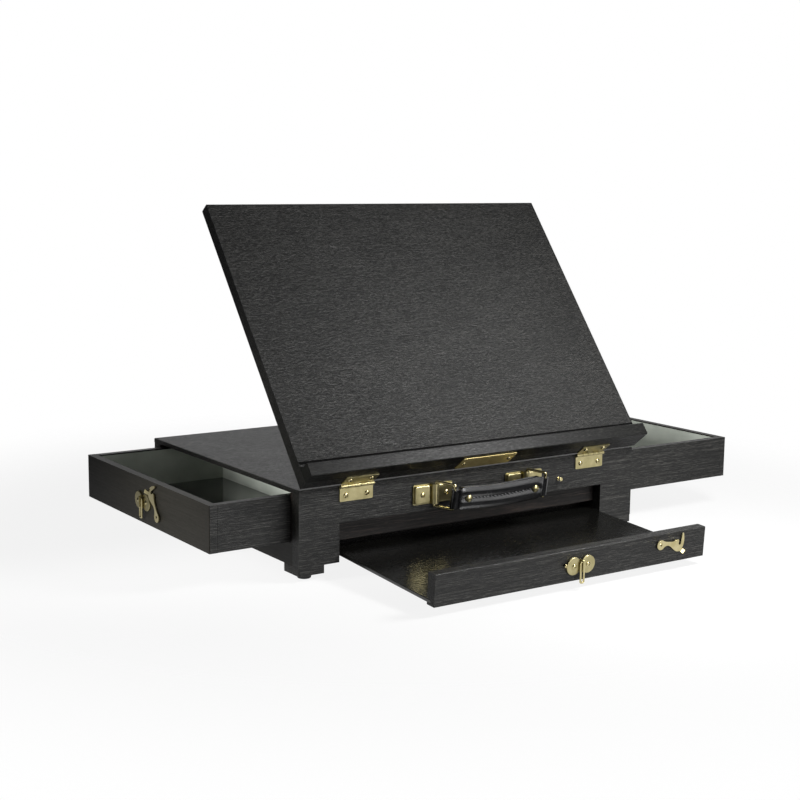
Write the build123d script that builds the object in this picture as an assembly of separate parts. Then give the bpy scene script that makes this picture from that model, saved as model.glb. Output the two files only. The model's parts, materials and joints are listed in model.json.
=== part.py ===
"""Pochade box: a flat wooden case with a tilting drawing board on its lid side, a drawer at each end,
a pull-out front shelf, brass hardware and a leather carrying handle.

Millimetres. The origin is the mouth of the tripod socket under the case, +Z up, the artist at -Y.
The pieces lie as in use: board raised, both drawers, the shelf and the handle drawn out.
"""

import os
from math import asin, cos, degrees, radians, sin, sqrt

from build123d import *

# Case
case_width = 460.0
case_depth = 345.0
case_height = 82.0
top_thickness = 5.0
panel_thickness = 13.0
inner_board_thickness = 4.0
deck_thickness = 4.0
bottom_thickness = 4.0
end_rail_thickness = 12.0
partition_thickness = 4.0
well_half_width = 15.0
arris = 0.7
slot_corner = 4.0
bottom_front_setback = 30.0

# Feet and tripod plate
foot_block_side = 31.0
foot_block_height = 9.0
rubber_foot_height = 6.0
rubber_foot_radius = 8.5
rubber_foot_taper = 1.5
rubber_foot_round = 1.0
tripod_plate_side = 64.0
tripod_plate_thickness = 3.0
tripod_plate_corner = 6.0
plate_arris = 0.5
socket_radius = 3.175
socket_length = 9.0
socket_boss_radius = 8.0
plate_screw_inset = 8.0
plate_screw_bite = 3.0

# Drawers
drawer_height = 49.5
drawer_top_gap = 3.0
drawer_running_gap = 0.5
drawer_side_gap = 1.0
drawer_wall = 9.0
drawer_bottom_thickness = 5.5
drawer_length = 208.0
drawer_compartment = 162.0
divider_thickness = 6.0
divider_drop = 2.0
lining_thickness = 0.8
lining_rim_gap = 1.5
left_drawer_out = 92.5
right_drawer_out = 178.0

# Front shelf
cutout_half_width = 181.0
cutout_top_drop = 40.0
shelf_side_gap = 1.0
rail_top_gap = 2.0
rail_height = 33.0
rail_thickness = 12.0
shelf_thickness = 3.5
shelf_below_rail_top = 27.3
shelf_groove_depth = 6.0
shelf_out = 169.5
rod_reach = 41.0
rod_radius = 2.0
rod_groove_play = 0.2
batten_depth = 12.0
batten_height = 6.4
shelf_droop = 3.52
runner_thickness = 10.0
runner_groove_depth = 6.0
rod_end_gap = 1.0

# Board and ledge
board_length = 347.0
board_thickness = 13.5
board_gap = 1.0
board_tilt = 52.1
ledge_height = 15.0
ledge_reach = 15.7
ledge_cove = 4.0
ledge_plate_width = 74.0
ledge_plate_height = 22.5
ledge_plate_start = 1.8
ledge_plate_thickness = 1.0
ledge_plate_screw_offset = 31.0
hinge_axis_front = 2.4
hinge_axis_drop = 1.0

# Hinges
hinge_offset = 161.0
hinge_width = 41.0
hinge_leaf_height = 16.5
hinge_leaf_thickness = 1.2
hinge_leaf_clear = 2.6
hinge_leaf_corner = 1.5
barrel_radius = 2.2
hinge_pin_radius = 1.1
knuckles = 5
knuckle_gap = 0.4
hinge_screw_drop = 10.0
hinge_screw_spacing = 26.4

# Board stay
stay_length = 140.0
stay_pivot_drop = 14.0
stay_bar_width = 12.0
stay_bar_thickness = 3.0
stay_pin_radius = 2.5
stay_bolt_radius = 2.0
spacer_radius = 4.5
track_thickness = 2.0
track_flange = 14.0
track_screw_inset = 2.8
track_depth = 14.0
track_slot_play = 0.25
track_end_margin = 7.0
track_end_clearance = 5.0
track_screw_bite = 4.5
track_pocket_depth = 6.8
track_pocket_half_width = 16.5
stay_side_gap = 0.5
knob_radius = 6.0
knob_length = 8.0
knob_flutes = 12
knob_arris = 0.6
bolt_head_radius = 4.0
bolt_head_height = 2.5
spacer_gap = 0.3
track_pocket_corner = 5.0
track_cheek_round = 4.0
highest_tilt = 75.0
top_slot_half_width = 13.5

# Handle
handle_spacing = 126.0
handle_drop = 21.5
bracket_width = 52.0
bracket_height = 22.0
bracket_rise = 4.5
bracket_plate = 1.6
bracket_rim = 1.2
saddle_radius = 4.2
saddle_gap = 0.9
bracket_corner = 2.0
pad_round = 1.3
ring_pivot_out = 5.2
ring_wire = 1.5
ring_inner_height = 25.2
ring_corner = 1.7
ring_reach = 21.7
ring_swing = 37.0
ring_droop = 9.0
grip_height = 21.4
grip_rest_gap = 0.3
grip_thickness = 7.0
grip_eye_radius = 4.2
rivet_insets = (18.0, 15.0)
rivet_head_radius = 3.5
rivet_head_height = 1.5
bracket_screw_offset = 15.5

# Pulls and hooks
pull_lobe_radius = 9.5
pull_lobe_offset = 9.3
pull_lobe_flat = 7.0
pull_thickness = 2.4
pull_web_height = 11.0
pull_web_thickness = 1.0
post_width = 1.6
post_height = 13.0
post_depth = 6.2
post_round = 2.0
lobe_round = 0.8
pull_pivot_rise = 4.0
bail_wire = 1.1
bail_half_width = 2.1
bail_length = 21.8
bail_corner = 1.4
bail_play = 0.3
pull_drop = 16.8
shelf_pull_offset = 1.7
shelf_nub_offset = 20.9
shelf_nub_radius = 1.8
shelf_nub_rise = 2.4
hook_reach = 27.6
hook_thickness = 1.5
hook_stand_off = 1.0
hook_pivot_radius = 5.4
hook_notch_play = 0.4
hook_tab_length = 6.5
hook_tab_width = 4.4
washer_radius = 3.4
shelf_hook_offset = 113.0
shelf_hook_drop = 11.2
shelf_hook_lean = 3.5
shelf_stud_offset = 115.4
drawer_hook_offset = 36.0
drawer_hook_lean = 26.0
drawer_hook_drop = 36.0
stud_neck_radius = 1.2
stud_head_radius = 2.5
stud_length = 5.2
running = 0.05
screw_head_radius = 2.9
small_head_radius = 2.4
screw_shank_radius = 1.4
screw_bite = 9.0
small_screw_bite = 5.5

# Places worked out from the sizes above
case_bottom = tripod_plate_thickness
case_top = case_bottom + case_height
front = -case_depth / 2
back = case_depth / 2
half_width = case_width / 2
drawer_top = case_top - top_thickness - drawer_top_gap
drawer_bottom = drawer_top - drawer_height
deck_top = drawer_bottom - drawer_running_gap
deck_bottom = deck_top - deck_thickness
bottom_top = case_bottom + bottom_thickness
inner_front = front + panel_thickness + inner_board_thickness
inner_back = back - panel_thickness - inner_board_thickness
drawer_front = inner_front + drawer_side_gap
drawer_back = inner_back - drawer_side_gap
drawer_middle = (drawer_front + drawer_back) / 2
cutout_top = case_top - cutout_top_drop
rail_top = cutout_top - rail_top_gap
rail_bottom = rail_top - rail_height
shelf_top = rail_top - shelf_below_rail_top
shelf_bottom = shelf_top - shelf_thickness
shelf_half_width = cutout_half_width - shelf_side_gap
rail_front = front - shelf_out
rod_y = front + rod_reach
rod_z = shelf_top + batten_height / 2
hinge_y = front - hinge_axis_front
hinge_z = case_top - hinge_axis_drop
board_bottom = case_top + board_gap
stay_drop = stay_pivot_drop - hinge_axis_drop
stay_start = degrees(asin(stay_drop / stay_length))
stay_y = hinge_y + sqrt(stay_length**2 - stay_drop**2)
stay_z = hinge_z - stay_drop
handle_z = case_top - handle_drop
bail_out = pull_thickness + bail_play + bail_wire
plate_screw_length = tripod_plate_thickness + plate_screw_bite

HINGE = Axis((0, hinge_y, hinge_z), (1, 0, 0))
ROD = Axis((0, rod_y, rod_z), (1, 0, 0))


def block(x0, x1, y0, y1, z0, z1):
    """A box between two corners."""
    return Pos((x0 + x1) / 2, (y0 + y1) / 2, (z0 + z1) / 2) * Box(x1 - x0, y1 - y0, z1 - z0)


def bar_x(radius, x0, x1, y, z):
    """A round bar along X."""
    return Pos((x0 + x1) / 2, y, z) * Rot(0, 90, 0) * Cylinder(radius, x1 - x0)


def eased(solid, axis=Axis.X, size=arris):
    """The piece with its edges along one direction eased."""
    return chamfer(solid.edges().filter_by(axis), size)


def mirrored(solid):
    """The piece's mirror image across the middle of the case."""
    return mirror(solid, about=Plane.YZ)


def save(name, *shapes):
    """Writes one node, as one solid or as a group of separate solids."""
    solids = [s for shape in shapes for s in shape.solids()]
    node = solids[0] if len(solids) == 1 else Compound(solids)
    node.label = name
    export_step(node, f"parts/{name}.step")


def dome(radius, height):
    """A shallow domed cap, its flat side at the origin."""
    ball = (radius**2 + height**2) / (2 * height)
    return (Pos(0, 0, height - ball) * Sphere(ball)) & (Pos(0, 0, height / 2) * Cylinder(radius, height))


def shank(place, length):
    """The straight part of a screw, which is also the hole that it fills."""
    return place * Pos(0, 0, -length / 2) * Cylinder(screw_shank_radius, length)


def screw(place, length, head=screw_head_radius):
    """A domed wood screw. The plane's origin is under its head and its normal points out of the wood."""
    height = head * 0.42
    slot = Pos(0, 0, height) * Box(2 * head, head * 0.2, height * 0.8)
    return place * (dome(head, height) - slot) + shank(place, length)


def drilled(solid, places, length):
    """The piece with the screw holes in it."""
    for place in places:
        solid -= shank(place, length)
    return solid


def front_plane(x, z, out=0.0, y=front):
    """A plane facing the artist, at a point on the case's front or in front of it."""
    return Plane(origin=(x, y - out, z), x_dir=(1, 0, 0), z_dir=(0, -1, 0))


def end_plane(x, y, z, side):
    """A plane facing out of the left (-1) or the right (+1) end."""
    return Plane(origin=(x, y, z), x_dir=(0, side, 0), z_dir=(side, 0, 0))


# Screw places on the case's front, and the catches
hinge_screw_x = [side * hinge_offset + off * hinge_screw_spacing / 2 for side in (-1, 1) for off in (-1, 1)]
case_leaf_places = [front_plane(x, hinge_z - hinge_screw_drop, hinge_leaf_thickness) for x in hinge_screw_x]
bracket_screw_x = [
    side * handle_spacing / 2 + off * bracket_screw_offset
    for side in (-1, 1)
    for off in (-1, 1)
]
bracket_places = [front_plane(x, handle_z, bracket_rise) for x in bracket_screw_x]
leaf_screw_length = hinge_leaf_thickness + screw_bite
bracket_screw_length = bracket_rise + small_screw_bite
shelf_hook_z = rail_top - shelf_hook_drop
shelf_stud_rise = sqrt(hook_reach**2 - (shelf_stud_offset - shelf_hook_offset) ** 2)
shelf_stud_place = front_plane(shelf_stud_offset, shelf_hook_z + shelf_stud_rise)
drawer_hook_y = drawer_middle - drawer_hook_offset
drawer_hook_z = drawer_top - drawer_hook_drop
shelf_hook_place = front_plane(shelf_hook_offset, shelf_hook_z, y=rail_front)
shelf_pull_place = front_plane(shelf_pull_offset, rail_top - pull_drop, y=rail_front)
shelf_nub_place = front_plane(shelf_pull_offset - shelf_nub_offset, rail_top - pull_drop + shelf_nub_rise, y=rail_front)
drawer_stud_place = end_plane(-half_width, drawer_hook_y, drawer_hook_z - hook_reach, -1)

# The grip between the rings' outer bars
grip_x0 = -handle_spacing / 2 + ring_reach * sin(radians(ring_swing))
grip_x1 = grip_x0 + handle_spacing
grip_y = front - ring_pivot_out - ring_reach * cos(radians(ring_swing))
grip_z = handle_z - ring_inner_height / 2 + grip_rest_gap + grip_height / 2
rivet_places = [
    front_plane(x, grip_z, grip_thickness / 2, y=grip_y)
    for x in (grip_x0 + rivet_insets[0], grip_x1 - rivet_insets[1])
]

# Screw places on the board's lower edge and in the stay's track, with the board closed
board_leaf_places = [front_plane(x, hinge_z + hinge_screw_drop, hinge_leaf_thickness) for x in hinge_screw_x]
ledge_plate_middle = board_bottom + ledge_plate_start + ledge_plate_height / 2
ledge_plate_places = [
    front_plane(side * ledge_plate_screw_offset, ledge_plate_middle, ledge_plate_thickness)
    for side in (-1, 1)
]
ledge_plate_screw_length = ledge_plate_thickness + screw_bite
track_top = board_bottom + track_pocket_depth
track_near = 2 * stay_length * cos(radians(highest_tilt + stay_start))
track_far = 2 * stay_length * cos(radians(stay_start))
track_screw_x = -track_thickness / 2 - track_flange + track_screw_inset
track_places = [
    Plane(
        origin=(
            track_screw_x,
            hinge_y + track_near + share * (track_far - track_near),
            track_top - track_thickness,
        ),
        x_dir=(1, 0, 0),
        z_dir=(0, 0, -1),
    )
    for share in (0.1, 0.5, 0.9)
]
track_screw_length = track_thickness + track_screw_bite

# The stay's arm and knob, either side of the track's cheek
stay_x0 = track_thickness / 2 + stay_side_gap
stay_x1 = stay_x0 + stay_bar_thickness
stay_angle = 2 * board_tilt + stay_start
knob_x1 = -stay_x0
knob_x0 = knob_x1 - knob_length
bolt_y = stay_y + stay_length * cos(radians(stay_angle))
bolt_z = stay_z + stay_length * sin(radians(stay_angle))


# Case
def top_panel():
    near_end = hinge_y + track_near - track_end_margin - track_end_clearance
    far_end = hinge_y + track_far + track_end_margin + track_end_clearance
    slab = block(-half_width, half_width, front, back, case_top - top_thickness, case_top)
    slab = chamfer(slab.edges().filter_by(Axis.Y).group_by(Axis.Z)[-1], arris)
    slot_bottom = case_top - 2 * top_thickness
    slot = block(-top_slot_half_width, top_slot_half_width, near_end, far_end, slot_bottom, case_top + 1)
    return slab - fillet(slot.edges().filter_by(Axis.Z), slot_corner)


def front_panel():
    inner = front + panel_thickness
    panel = block(-half_width, half_width, front, inner, case_bottom, case_top - top_thickness)
    cutout = block(
        -cutout_half_width, cutout_half_width, front - 1, inner + 1, case_bottom - 1, cutout_top
    )
    panel -= cutout
    panel = drilled(panel, case_leaf_places, leaf_screw_length)
    panel = drilled(panel, bracket_places, bracket_screw_length)
    return drilled(panel, [shelf_stud_place], screw_bite)


def inner_board(y0):
    upper = block(-half_width, half_width, y0, y0 + inner_board_thickness, deck_top, case_top - top_thickness)
    rail_inside = half_width - end_rail_thickness
    lower = block(-rail_inside, rail_inside, y0, y0 + inner_board_thickness, deck_bottom, deck_top)
    return upper + lower


def back_panel():
    inner = back - panel_thickness
    panel = block(-half_width, half_width, inner, back, case_bottom, case_top - top_thickness)
    return eased(panel, Axis.Z)


def end_rail(side):
    rail = block(
        -half_width,
        -half_width + end_rail_thickness,
        front + panel_thickness,
        back - panel_thickness,
        case_bottom,
        deck_top,
    )
    rail = drilled(rail, [drawer_stud_place], screw_bite)
    return rail if side < 0 else mirrored(rail)


def drawer_deck():
    inside = half_width - end_rail_thickness
    return block(-inside, inside, inner_front, inner_back, deck_bottom, deck_top)


def well_partition(side):
    wall = block(
        well_half_width,
        well_half_width + partition_thickness,
        inner_front,
        inner_back,
        deck_top,
        case_top - top_thickness,
    )
    wall -= bar_x(stay_pin_radius, 0, case_width, stay_y, stay_z)
    return wall if side > 0 else mirrored(wall)


def bottom_panel():
    inside = half_width - end_rail_thickness
    near = front + bottom_front_setback
    panel = block(-inside, inside, near, back - panel_thickness, case_bottom, bottom_top)
    panel -= Pos(0, 0, bottom_top) * Cylinder(socket_boss_radius, 4 * bottom_thickness)
    return drilled(panel, tripod_screw_places(), plate_screw_length)


def shelf_runner(side):
    runner = block(
        cutout_half_width,
        cutout_half_width + runner_thickness,
        front + panel_thickness,
        rod_y + shelf_out + batten_depth,
        bottom_top,
        deck_bottom,
    )
    groove_half = rod_radius + rod_groove_play
    groove = block(
        cutout_half_width,
        cutout_half_width + runner_groove_depth,
        rod_y,
        rod_y + shelf_out,
        rod_z - groove_half,
        rod_z + groove_half,
    )
    for y in (rod_y, rod_y + shelf_out):
        groove += bar_x(groove_half, cutout_half_width, cutout_half_width + runner_groove_depth, y, rod_z)
    runner -= groove
    return runner if side > 0 else mirrored(runner)


foot_inset = foot_block_side / 2
foot_centres = [
    (sx * (half_width - foot_inset), sy * (back - foot_inset))
    for sx in (-1, 1)
    for sy in (-1, 1)
]


def foot_block(x, y):
    body = Box(foot_block_side, foot_block_side, foot_block_height)
    body = Pos(x, y, case_bottom - foot_block_height / 2) * body
    return chamfer(body.edges().filter_by(Axis.Z), arris)


def rubber_foot(x, y):
    z = case_bottom - foot_block_height - rubber_foot_height / 2
    cone = Cone(rubber_foot_radius, rubber_foot_radius - rubber_foot_taper, rubber_foot_height)
    cone = Rot(180, 0, 0) * cone
    return Pos(x, y, z) * fillet(cone.edges().group_by(Axis.Z)[0], rubber_foot_round)


def tripod_screw_places():
    reach = tripod_plate_side / 2 - plate_screw_inset
    return [
        Plane(origin=(sx * reach, sy * reach, 0.0), x_dir=(1, 0, 0), z_dir=(0, 0, -1))
        for sx in (-1, 1)
        for sy in (-1, 1)
    ]


def flush_screw(place):
    """A countersunk screw whose head lies flush with the plate."""
    head_height = screw_head_radius - screw_shank_radius
    head = Pos(0, 0, -head_height / 2) * Cone(screw_shank_radius, screw_head_radius, head_height)
    return place * head + shank(place, plate_screw_length)


def tripod_plate():
    half = tripod_plate_side / 2
    plate = block(-half, half, -half, half, 0, tripod_plate_thickness)
    plate = fillet(plate.edges().filter_by(Axis.Z), tripod_plate_corner)
    plate = chamfer(plate.edges().group_by(Axis.Z)[0], plate_arris)
    plate += Pos(0, 0, socket_length / 2) * Cylinder(socket_boss_radius, socket_length)
    plate -= Pos(0, 0, socket_length / 2) * Cylinder(socket_radius, socket_length)
    for place in tripod_screw_places():
        plate -= flush_screw(place)
    return plate


def stud(place):
    """A headed pin that a hook closes over."""
    neck = Pos(0, 0, stud_length / 2) * Cylinder(stud_neck_radius, stud_length)
    collar = Pos(0, 0, 0.4) * Cylinder(stud_head_radius * 0.9, 0.8)
    head = Pos(0, 0, stud_length) * Cylinder(stud_head_radius, 1.2)
    head = chamfer(head.edges().filter_by(GeomType.CIRCLE), 0.4)
    return place * (neck + collar + head) + shank(place, screw_bite)


# Hinges between case and board
def knuckle_spans(own):
    """The X spans of one leaf's knuckles, measured from the hinge's middle. own is 0 or 1."""
    pitch = hinge_width / knuckles
    spans = []
    for i in range(own, knuckles, 2):
        x0 = -hinge_width / 2 + i * pitch
        low = x0 + (knuckle_gap / 2 if i > 0 else 0)
        high = x0 + pitch - (knuckle_gap / 2 if i < knuckles - 1 else 0)
        spans.append((low, high))
    return spans


def hinge_leaf(x, own, up):
    """One leaf, lying in the plane of the case's front. up is +1 for the board's leaf, -1 for the case's."""
    z_near = hinge_z + up * hinge_leaf_clear
    z_far = hinge_z + up * hinge_leaf_height
    leaf = block(
        x - hinge_width / 2,
        x + hinge_width / 2,
        front - hinge_leaf_thickness,
        front,
        min(z_near, z_far),
        max(z_near, z_far),
    )
    far_corners = leaf.edges().filter_by(Axis.Y).sort_by(Axis.Z)
    leaf = fillet(far_corners[-2:] if up > 0 else far_corners[:2], hinge_leaf_corner)
    bore = hinge_pin_radius + (running if up > 0 else 0)
    for low, high in knuckle_spans(own):
        bottom = min(hinge_z, z_near)
        top = max(hinge_z, z_near)
        leaf += block(x + low, x + high, front - hinge_leaf_thickness, front, bottom, top)
        leaf += bar_x(barrel_radius, x + low, x + high, hinge_y, hinge_z)
    leaf -= bar_x(bore, x - hinge_width, x + hinge_width, hinge_y, hinge_z)
    return leaf


def hinge_pin(x):
    return bar_x(hinge_pin_radius, x - hinge_width / 2, x + hinge_width / 2, hinge_y, hinge_z)


def case_leaf(side):
    return drilled(hinge_leaf(side * hinge_offset, 0, -1), case_leaf_places, leaf_screw_length)


def board_leaf(side):
    return drilled(hinge_leaf(side * hinge_offset, 1, 1), board_leaf_places, leaf_screw_length)


# Board, drawn lying closed on the case and then raised about the hinges
def raised(shape):
    return shape.rotate(HINGE, board_tilt)


def board_panel():
    far = front + board_length
    panel = block(-half_width, half_width, front, far, board_bottom, board_bottom + board_thickness)
    panel = chamfer(panel.edges().filter_by(Axis.X).sort_by(Axis.Y)[-2:], arris)
    pocket = block(
        -track_pocket_half_width,
        track_pocket_half_width,
        hinge_y + track_near - 2 * track_end_margin,
        hinge_y + track_far + 2 * track_end_margin,
        board_bottom - 1,
        track_top,
    )
    panel -= fillet(pocket.edges().filter_by(Axis.Z), track_pocket_corner)
    panel = drilled(panel, board_leaf_places, leaf_screw_length)
    panel = drilled(panel, ledge_plate_places, ledge_plate_screw_length)
    return drilled(panel, track_places, track_screw_length)


def ledge():
    """The lip that a canvas rests on, with a small cove where it meets the board."""
    foot = ledge_height + ledge_cove
    low = board_bottom + board_thickness
    profile = Polyline(
        (front, low),
        (front + foot, low),
        (front + ledge_height, low + ledge_cove * 1.6),
        (front + ledge_height, low + ledge_reach),
        (front, low + ledge_reach),
        close=True,
    )
    face = Plane(origin=(-half_width, 0, 0), x_dir=(0, 1, 0), z_dir=(1, 0, 0)) * make_face(profile)
    bar = extrude(face, case_width)
    bar = chamfer(bar.edges().filter_by(Axis.X).group_by(Axis.Z)[-1], arris)
    bar = drilled(bar, board_leaf_places, leaf_screw_length)
    return drilled(bar, ledge_plate_places, ledge_plate_screw_length)


def ledge_plate():
    half = ledge_plate_width / 2
    z0 = board_bottom + ledge_plate_start
    plate = block(-half, half, front - ledge_plate_thickness, front, z0, z0 + ledge_plate_height)
    plate = fillet(plate.edges().filter_by(Axis.Y), 2.0)
    return drilled(plate, ledge_plate_places, ledge_plate_screw_length)


# Stay: a slotted track under the board, and an arm as long as its pivot is far from the hinge
def stay_track():
    y0 = hinge_y + track_near - track_end_margin
    y1 = hinge_y + track_far + track_end_margin
    half = track_thickness / 2
    cheek = block(-half, half, y0, y1, track_top - track_depth, track_top)
    cheek = fillet(cheek.edges().filter_by(Axis.X).group_by(Axis.Z)[0], track_cheek_round)
    flange = block(-half - track_flange, half, y0, y1, track_top - track_thickness, track_top)
    slot_half = stay_bolt_radius + track_slot_play
    slot = block(-5, 5, hinge_y + track_near, hinge_y + track_far, hinge_z - slot_half, hinge_z + slot_half)
    for reach in (track_near, track_far):
        slot += bar_x(slot_half, -5, 5, hinge_y + reach, hinge_z)
    return drilled(cheek + flange - slot, track_places, track_screw_length)


def stay_arm():
    """The arm at rest: it leans from its pivot in the well to the sliding bolt."""
    half = stay_bar_width / 2
    bar = block(stay_x0, stay_x1, stay_y, stay_y + stay_length, stay_z - half, stay_z + half)
    for reach in (0, stay_length):
        bar += bar_x(half, stay_x0, stay_x1, stay_y + reach, stay_z)
    bar -= bar_x(stay_pin_radius + running, 0, 20, stay_y, stay_z)
    bar -= bar_x(stay_bolt_radius, 0, 20, stay_y + stay_length, stay_z)
    return bar.rotate(Axis((0, stay_y, stay_z), (1, 0, 0)), stay_angle)


def stay_bolt():
    """The clamping bolt through the arm and the track's slot."""
    body = bar_x(stay_bolt_radius, knob_x0 - 0.5, stay_x1, bolt_y, bolt_z)
    head = bar_x(bolt_head_radius, stay_x1, stay_x1 + bolt_head_height, bolt_y, bolt_z)
    return body + chamfer(head.edges().filter_by(GeomType.CIRCLE).sort_by(Axis.X)[-1], 0.8)


def stay_knob():
    """The fluted thumb nut on the bolt."""
    knob = Cylinder(knob_radius, knob_length)
    knob = chamfer(knob.edges().filter_by(GeomType.CIRCLE), knob_arris)
    knob -= PolarLocations(knob_radius * 1.06, knob_flutes) * Cylinder(0.9, knob_length)
    knob -= Cylinder(stay_bolt_radius + running, knob_length)
    return Pos((knob_x0 + knob_x1) / 2, bolt_y, bolt_z) * Rot(0, 90, 0) * knob


def stay_pin():
    reach = well_half_width + partition_thickness
    return bar_x(stay_pin_radius, -reach, reach, stay_y, stay_z)


def stay_spacers():
    spans = ((-well_half_width, stay_x0 - spacer_gap), (stay_x1 + spacer_gap, well_half_width))
    return [
        bar_x(spacer_radius, a, b, stay_y, stay_z) - bar_x(stay_pin_radius, a - 1, b + 1, stay_y, stay_z)
        for a, b in spans
    ]


# Drawers, drawn for the left end and mirrored for the right
def drawer_pieces(out):
    face_x = -half_width - out
    inside_x = face_x + drawer_wall
    end_x = face_x + drawer_length
    divider_x = inside_x + drawer_compartment
    y0 = drawer_front + drawer_wall
    y1 = drawer_back - drawer_wall
    floor = drawer_bottom + drawer_bottom_thickness
    pull_place = end_plane(face_x, drawer_middle, (drawer_top + drawer_bottom) / 2, -1)
    hook_place = end_plane(face_x, drawer_hook_y, drawer_hook_z, -1)

    face = block(face_x, inside_x, drawer_front, drawer_back, drawer_bottom, drawer_top)
    face = chamfer(face.edges().filter_by(Axis.Z).sort_by(Axis.X)[:2], arris)
    walls = [
        block(inside_x, end_x, drawer_front, y0, drawer_bottom, drawer_top),
        block(inside_x, end_x, y1, drawer_back, drawer_bottom, drawer_top),
        block(end_x - drawer_wall, end_x, y0, y1, drawer_bottom, drawer_top),
    ]
    divider = block(divider_x, divider_x + divider_thickness, y0, y1, floor, drawer_top - divider_drop)
    lining_top = drawer_top - lining_rim_gap
    outer = block(inside_x, divider_x, y0, y1, floor, lining_top)
    t = lining_thickness
    inner = block(inside_x + t, divider_x - t, y0 + t, y1 - t, floor, lining_top)
    return {
        "face": [drilled_for_pull(face, pull_place, hook_place)],
        "walls": walls,
        "divider": [divider],
        "bottom": [block(inside_x, end_x - drawer_wall, y0, y1, drawer_bottom, floor)],
        "lining": [outer - inner],
        "pull_plate": [pull_plate(pull_place)],
        "pull_bail": [pull_bail(pull_place)],
        "hook": [hook(hook_place, 90.0 + drawer_hook_lean, -1)],
        "screws": pull_screws(pull_place) + [pivot_screw(hook_place)],
    }


# Pulls
def pull_screw_places(place, lift):
    """Where a pull's two screws go, at some height above its place."""
    return [place.offset(lift) * Pos(side * pull_lobe_offset, 0, 0) for side in (-1, 1)]


def pull_screws(place):
    length = pull_thickness + small_screw_bite
    return [screw(p, length, small_head_radius) for p in pull_screw_places(place, pull_thickness)]


def drilled_for_pull(wood, pull_place, hook_place):
    """The wood behind a pull and a hook, with their screws' holes."""
    wood = drilled(wood, pull_screw_places(pull_place, 0), small_screw_bite)
    return drilled(wood, [hook_place], small_screw_bite)


def pull_plate(place):
    """Two D-shaped lobes on a slim web, with a slim upright post between them."""
    window = pull_lobe_radius + pull_lobe_flat
    lobes = Part()
    for side in (-1, 1):
        middle = side * (window / 2 + pull_lobe_offset - pull_lobe_flat)
        keep = Pos(middle, 0) * Rectangle(window, 4 * pull_lobe_radius)
        lobe = extrude(Pos(side * pull_lobe_offset, 0) * Circle(pull_lobe_radius) & keep, pull_thickness)
        lobes += fillet(lobe.edges().group_by(Axis.Z)[-1], lobe_round)
    web = Pos(0, 0, pull_web_thickness / 2) * Box(2 * pull_lobe_offset, pull_web_height, pull_web_thickness)
    post = Pos(0, 0, post_depth / 2) * Box(post_width, post_height, post_depth)
    post = fillet(post.edges().filter_by(Axis.X).group_by(Axis.Z)[-1], post_round)
    post -= Pos(0, pull_pivot_rise, bail_out) * Rot(0, 90, 0) * Cylinder(bail_wire + running, 2 * post_width)
    plate = lobes + web + post
    for side in (-1, 1):
        plate -= Pos(side * pull_lobe_offset, 0, 0) * Cylinder(screw_shank_radius, 4 * pull_thickness)
    return place * plate


def wire_loop(points, corner, wire):
    """A closed loop of round wire with rounded corners."""
    path = FilletPolyline(*points, radius=corner, close=True)
    section = Plane(origin=path @ 0, z_dir=path % 0) * Circle(wire)
    return sweep(section, path=path)


def pull_bail(place):
    """The narrow wire loop that hangs from the post."""
    w = bail_half_width
    low = pull_pivot_rise - bail_length
    high = pull_pivot_rise
    points = [(w, low, bail_out), (-w, low, bail_out), (-w, high, bail_out), (w, high, bail_out)]
    return place * wire_loop(points, bail_corner, bail_wire)


# Hooks
def hook(place, angle, hand):
    """A flat waisted hook with an open notch, a long prong and a turned-up finger tab.

    It is drawn along +X with the notch opening to +Y (hand 1) or -Y (hand -1), then turned by the angle.
    """
    notch = stud_neck_radius + hook_notch_play
    near = hook_reach - notch
    far = hook_reach + notch
    r = hook_pivot_radius
    outline = Spline((r * 0.55, -r * 0.8), (r * 2.3, -1.9), (hook_reach - 6.2, -7.6), (far - 1.0, -8.6))
    outline += Spline((far - 1.0, -8.6), (far + 3.6, -3.0), (far + 4.2, 5.0), (far + 2.6, 11.4))
    outline += Line((far + 2.6, 11.4), (far + 0.8, 11.0))
    outline += Line((far + 0.8, 11.0), (far, 0))
    outline += ThreePointArc((far, 0), (hook_reach, -notch), (near, 0))
    outline += Line((near, 0), (near, 3.4))
    outline += Spline((near, 3.4), (near - 1.6, 4.6), (near - 5.0, 3.6), (r * 2.5, 2.7), (r * 0.55, r * 0.8))
    outline += Line((r * 0.55, r * 0.8), (r * 0.55, -r * 0.8))
    plate = extrude(make_face(outline), hook_thickness)
    plate += Pos(0, 0, hook_thickness / 2) * Cylinder(r, hook_thickness)
    tab = block(0, hook_tab_length, -hook_tab_width / 2, hook_tab_width / 2, 0, hook_thickness)
    plate += Pos(hook_reach + 1.0, -6.2, 0) * Rot(0, 0, -38) * Rot(0, -32, 0) * tab
    plate -= Cylinder(screw_shank_radius + running, 4 * hook_thickness)
    if hand < 0:
        plate = mirror(plate, about=Plane.XZ)
    return place.offset(hook_stand_off) * Rot(0, 0, angle) * plate


def pivot_screw(place):
    """The screw that a hook turns on, with the washer that holds the hook off the wood."""
    lift = hook_stand_off + hook_thickness + 2 * running
    washer = Pos(0, 0, (hook_stand_off - running) / 2) * Cylinder(washer_radius, hook_stand_off - running)
    return screw(place.offset(lift), lift + small_screw_bite) + place * washer


# Shelf, drawn level and then let down about its rear rod
def lowered(shape):
    return shape.rotate(ROD, shelf_droop)


def hanging(bail):
    """The shelf's bail turned back about its pivot, so that it hangs plumb."""
    wire = shelf_pull_place.location * Pos(0, pull_pivot_rise, bail_out) * Sphere(bail_wire)
    pivot = lowered(wire).center()
    return bail.rotate(Axis(pivot, (1, 0, 0)), -shelf_droop)


def shelf_panel():
    y0 = rail_front + rail_thickness - shelf_groove_depth
    return block(-shelf_half_width, shelf_half_width, y0, rod_y + batten_depth / 2, shelf_bottom, shelf_top)


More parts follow.
